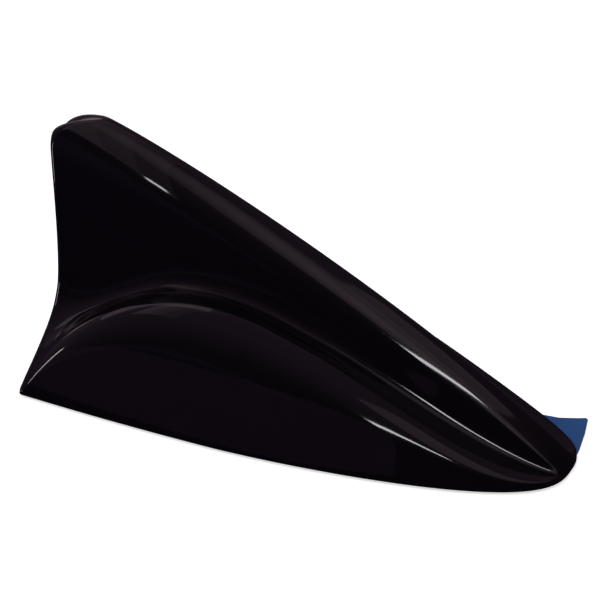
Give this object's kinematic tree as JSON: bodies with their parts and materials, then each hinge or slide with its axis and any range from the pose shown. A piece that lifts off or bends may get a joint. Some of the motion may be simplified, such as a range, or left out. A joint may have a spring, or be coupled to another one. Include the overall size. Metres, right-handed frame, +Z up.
{
  "type": "shark fin aerial",
  "caption": "Stick-on car roof aerial: gloss black shark fin cover over a sealed base tray with amplifier board, wound coil, cable gland and taped underside.",
  "frame": {"origin": "axis of the cable gland where its skirt meets the roof", "axes": "+X to the nose, +Z up from the roof, +Y to the side on which the pull tab shows"},
  "size_m": [0.1475, 0.062, 0.0709],
  "materials": {
    "gloss_cover": "high-gloss black lacquer on moulded ABS",
    "tray_plastic": "black moulded plastic, fine texture",
    "screw_steel": "zinc plated",
    "seal_rubber": "black EPDM rubber",
    "tape_foam": "dark grey acrylic foam",
    "blue_film": "satin blue polyester film",
    "board_laminate": "green solder resist",
    "tinned_steel": "tinned sheet",
    "chip_resin": "moulded resin",
    "tan_ceramic": "tan ceramic with tinned ends",
    "can_aluminium": "drawn can",
    "dark_ferrite": "grey ferrite",
    "contact_brass": "bright sheet and turned brass",
    "white_plastic": "natural white plastic",
    "coil_copper": "enamelled copper wire"
  },
  "bodies": {
    "root": {"fin_cover": "gloss_cover", "base_plate": "tray_plastic", "base_screws": "screw_steel", "edge_seal": "seal_rubber", "tape_pad": "tape_foam", "release_film": "blue_film", "cable_grommet": "seal_rubber", "circuit_board": "board_laminate", "board_screws": "screw_steel", "shield_frame": "tinned_steel", "shield_can": "tinned_steel", "amplifier_chip": "chip_resin", "board_capacitors": "tan_ceramic", "storage_capacitor": "can_aluminium", "filter_coils": "dark_ferrite", "coax_socket": "contact_brass", "socket_insulator": "white_plastic", "socket_pin": "contact_brass", "coil_former": "white_plastic", "aerial_coil": "coil_copper", "feed_clip": "contact_brass", "top_plate": "contact_brass", "plate_screws": "screw_steel", "foam_pads": "tape_foam"}
  },
  "joints": []
}
